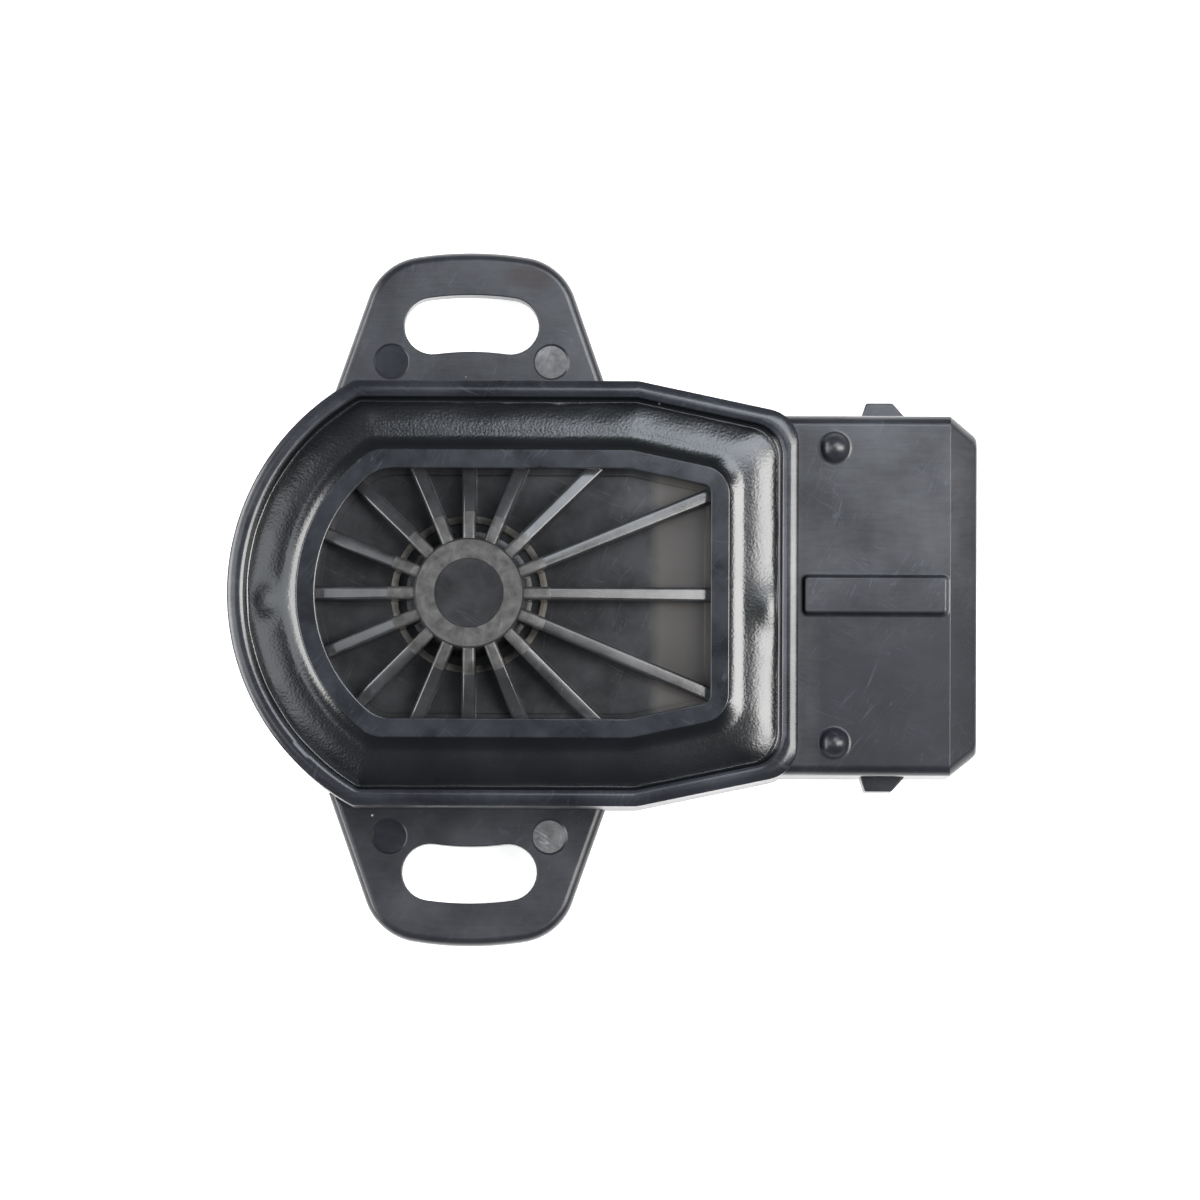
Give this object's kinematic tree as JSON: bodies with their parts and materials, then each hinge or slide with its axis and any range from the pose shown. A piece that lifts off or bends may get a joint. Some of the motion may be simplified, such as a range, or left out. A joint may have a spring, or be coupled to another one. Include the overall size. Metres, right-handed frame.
{
  "type": "throttle position sensor",
  "caption": "Black moulded rotary position sensor with a resin-potted ribbed rear cover, slotted mounting ears, a blade connector shroud and a sprung rotor driven by the throttle spindle.",
  "frame": {"origin": "on the rotor axis in the plane of the mounting ears' underside, where the pilot spigot starts", "axes": "+X to the connector's mouth, +Z to the rear cover, -Z into the throttle body"},
  "size_m": [0.0615, 0.0576, 0.0196],
  "materials": {
    "housing_plastic": "moulded black, satin",
    "cover_plastic": "moulded black, satin",
    "potting_resin": "cast black resin, glossy",
    "rotor_plastic": "moulded dark grey, matte",
    "seal_rubber": "matte black",
    "board_laminate": "glass laminate",
    "track_ink": "printed carbon",
    "track_silver": "printed silver",
    "solder": "bright solder",
    "terminal_metal": "tin plated",
    "wiper_metal": "sprung bronze",
    "washer_steel": "plain",
    "spring_steel": "drawn"
  },
  "bodies": {
    "case": {"housing": "housing_plastic", "rear_cover": "cover_plastic", "potting_resin": "potting_resin", "resistor_board": "board_laminate", "resistor_track": "track_ink", "collector_tracks": "track_silver", "idle_track": "track_silver", "solder_pads": "track_silver", "solder_joints": "solder", "terminal_ground": "terminal_metal", "terminal_idle": "terminal_metal", "terminal_signal": "terminal_metal", "terminal_supply": "terminal_metal", "thrust_washer": "washer_steel", "return_spring": "spring_steel"},
    "rotor": {"rotor": "rotor_plastic", "rotor_seal": "seal_rubber", "wiper_signal": "wiper_metal", "wiper_idle": "wiper_metal"}
  },
  "joints": [
    {"name": "rotor_turn", "type": "hinge", "parent": "case", "child": "rotor", "pos_m": [0, 0, 0], "axis": [0, 0, 1], "range_deg": [0, 110], "stiffness_Nm_per_rad": 0.004, "springref_deg": -57.3, "deforming": ["return_spring"]}
  ]
}
